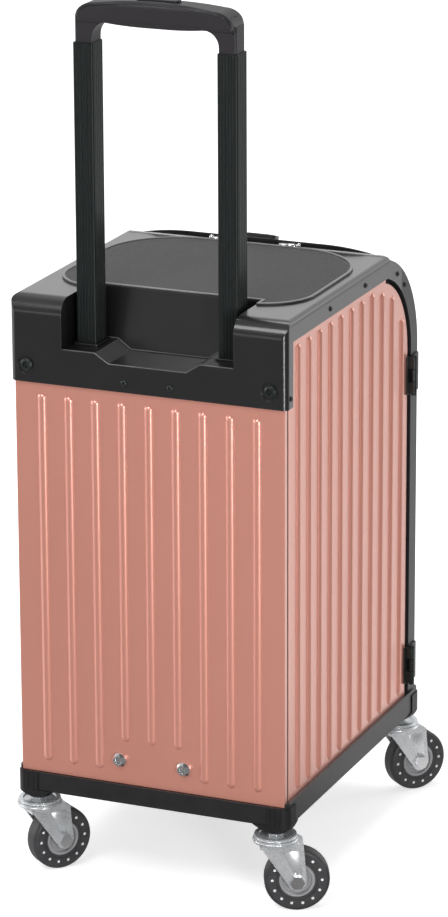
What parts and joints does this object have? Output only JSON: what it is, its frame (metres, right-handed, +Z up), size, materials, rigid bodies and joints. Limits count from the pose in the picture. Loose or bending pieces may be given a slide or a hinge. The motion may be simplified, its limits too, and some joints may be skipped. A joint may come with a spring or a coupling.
{
  "type": "trolley case",
  "caption": "Upright ribbed aluminium trolley case with a curved front door, a moulded top cover with a handle recess, a pull-out handle and swivel casters.",
  "frame": {"origin": "on the floor below the middle of the body's width and depth, where the casters stand", "axes": "+Z up, -Y towards the door, +Y towards the back panel and the handle, +X towards the side away from the hinges"},
  "size_m": [0.3137, 0.3922, 0.8553],
  "materials": {
    "rose_aluminium": "satin anodised rose gold, pressed ribs",
    "black_rail": "satin black",
    "black_plastic": "moulded, fine satin grain",
    "grip_plastic": "soft satin",
    "mat_rubber": "fine raised diamonds",
    "seal_rubber": "soft, matt",
    "black_fittings": "blackened steel",
    "chrome": "bright",
    "zinc": "bright zinc plate",
    "tube_black": "gloss black",
    "guide_aluminium": "mill finish",
    "board": "dark board",
    "lining": "grey, fine grain",
    "tyre": "satin",
    "hub_grey": "grey, glossy"
  },
  "bodies": {
    "case": {"back_panel": "rose_aluminium", "side_panel_left": "rose_aluminium", "side_panel_right": "rose_aluminium", "corner_strips": "seal_rubber", "floor_panel": "board", "base_frame": "black_rail", "base_corners": "black_plastic", "top_cover": "black_plastic", "top_mat": "mat_rubber", "cover_screws": "black_fittings", "trim_screws": "black_fittings", "rear_bolts": "chrome", "handle_foot": "black_plastic", "guide_tube_left": "guide_aluminium", "guide_tube_right": "guide_aluminium", "tube_collars": "black_plastic", "inner_lining": "lining", "front_frame": "black_rail", "door_gasket": "seal_rubber", "hinge_leaves_case": "black_fittings", "hinge_pins": "black_fittings", "caster_mounts": "zinc"},
    "door": {"door_panel": "rose_aluminium", "door_rim": "black_rail", "door_cap": "black_plastic", "door_screws": "black_fittings", "door_lining": "lining", "hinge_leaves_door": "black_fittings", "catch_housing": "black_plastic"},
    "catch_slider": {"catch_slider": "chrome"},
    "catch_tongue": {"catch_tongue": "chrome"},
    "handle": {"handle_tube_left": "tube_black", "handle_tube_right": "tube_black", "tube_end_plugs": "black_plastic", "handle_grip": "grip_plastic", "button_spring": "zinc"},
    "button": {"grip_button": "grip_plastic", "release_linkage": "zinc"},
    "lock_pin_left": {"lock_pin_left": "chrome"},
    "lock_pin_right": {"lock_pin_right": "chrome"},
    "swivel_rear_right": {"fork_rear_right": "zinc", "axle_rear_right": "chrome"},
    "wheel_rear_right": {"tyre_rear_right": "tyre", "hub_rear_right": "hub_grey"},
    "swivel_rear_left": {"fork_rear_left": "zinc", "axle_rear_left": "chrome"},
    "wheel_rear_left": {"tyre_rear_left": "tyre", "hub_rear_left": "hub_grey"},
    "swivel_front_left": {"fork_front_left": "zinc", "axle_front_left": "chrome"},
    "wheel_front_left": {"tyre_front_left": "tyre", "hub_front_left": "hub_grey"},
    "swivel_front_right": {"fork_front_right": "zinc", "axle_front_right": "chrome"},
    "wheel_front_right": {"tyre_front_right": "tyre", "hub_front_right": "hub_grey"}
  },
  "joints": [
    {"name": "door_hinge", "type": "hinge", "parent": "case", "child": "door", "pos_m": [-0.141, -0.1585, 0.3], "axis": [0, 0, -1], "range_deg": [0, 120]},
    {"name": "catch_slider_draw", "type": "slide", "parent": "door", "child": "catch_slider", "axis": [0, -0.9468, -0.3217], "range_m": [0, 0.005], "stiffness_N_per_m": 300, "springref_m": -0.004},
    {"name": "catch_tongue_slide", "type": "slide", "parent": "door", "child": "catch_tongue", "axis": [0, -1, 0], "range_m": [0, 0.005]},
    {"name": "handle_slide", "type": "slide", "parent": "case", "child": "handle", "axis": [0, 0, 1], "range_m": [-0.28, 0]},
    {"name": "button_press", "type": "slide", "parent": "handle", "child": "button", "axis": [0, 0, -1], "range_m": [0, 0.003], "stiffness_N_per_m": 600, "springref_m": -0.004, "deforming": ["button_spring"]},
    {"name": "lock_left_slide", "type": "slide", "parent": "handle", "child": "lock_pin_left", "axis": [-1, 0, 0], "range_m": [0, 0.003]},
    {"name": "lock_right_slide", "type": "slide", "parent": "handle", "child": "lock_pin_right", "axis": [1, 0, 0], "range_m": [0, 0.003]},
    {"name": "caster_swivel_rear_right", "type": "hinge", "parent": "case", "child": "swivel_rear_right", "pos_m": [0.122, 0.153, 0.07], "axis": [0, 0, 1], "continuous": true},
    {"name": "wheel_spin_rear_right", "type": "hinge", "parent": "swivel_rear_right", "child": "wheel_rear_right", "pos_m": [0.10996, 0.13703, 0.031], "axis": [0.7986, -0.6018, 0], "continuous": true},
    {"name": "caster_swivel_rear_left", "type": "hinge", "parent": "case", "child": "swivel_rear_left", "pos_m": [-0.122, 0.153, 0.07], "axis": [0, 0, 1], "continuous": true},
    {"name": "wheel_spin_rear_left", "type": "hinge", "parent": "swivel_rear_left", "child": "wheel_rear_left", "pos_m": [-0.14013, 0.14455, 0.031], "axis": [0.4226, -0.9063, 0], "continuous": true},
    {"name": "caster_swivel_front_left", "type": "hinge", "parent": "case", "child": "swivel_front_left", "pos_m": [-0.122, -0.171, 0.07], "axis": [0, 0, 1], "continuous": true},
    {"name": "wheel_spin_front_left", "type": "hinge", "parent": "swivel_front_left", "child": "wheel_front_left", "pos_m": [-0.13486, -0.18632, 0.031], "axis": [0.766, -0.6428, 0], "continuous": true},
    {"name": "caster_swivel_front_right", "type": "hinge", "parent": "case", "child": "swivel_front_right", "pos_m": [0.122, -0.171, 0.07], "axis": [0, 0, 1], "continuous": true},
    {"name": "wheel_spin_front_right", "type": "hinge", "parent": "swivel_front_right", "child": "wheel_front_right", "pos_m": [0.112, -0.18832, 0.031], "axis": [0.866, -0.5, 0], "continuous": true}
  ],
  "couplings": [
    {"joint": "catch_tongue_slide", "follows": "catch_slider_draw", "ratio": 1},
    {"joint": "lock_left_slide", "follows": "button_press", "ratio": 1},
    {"joint": "lock_right_slide", "follows": "button_press", "ratio": 1}
  ]
}
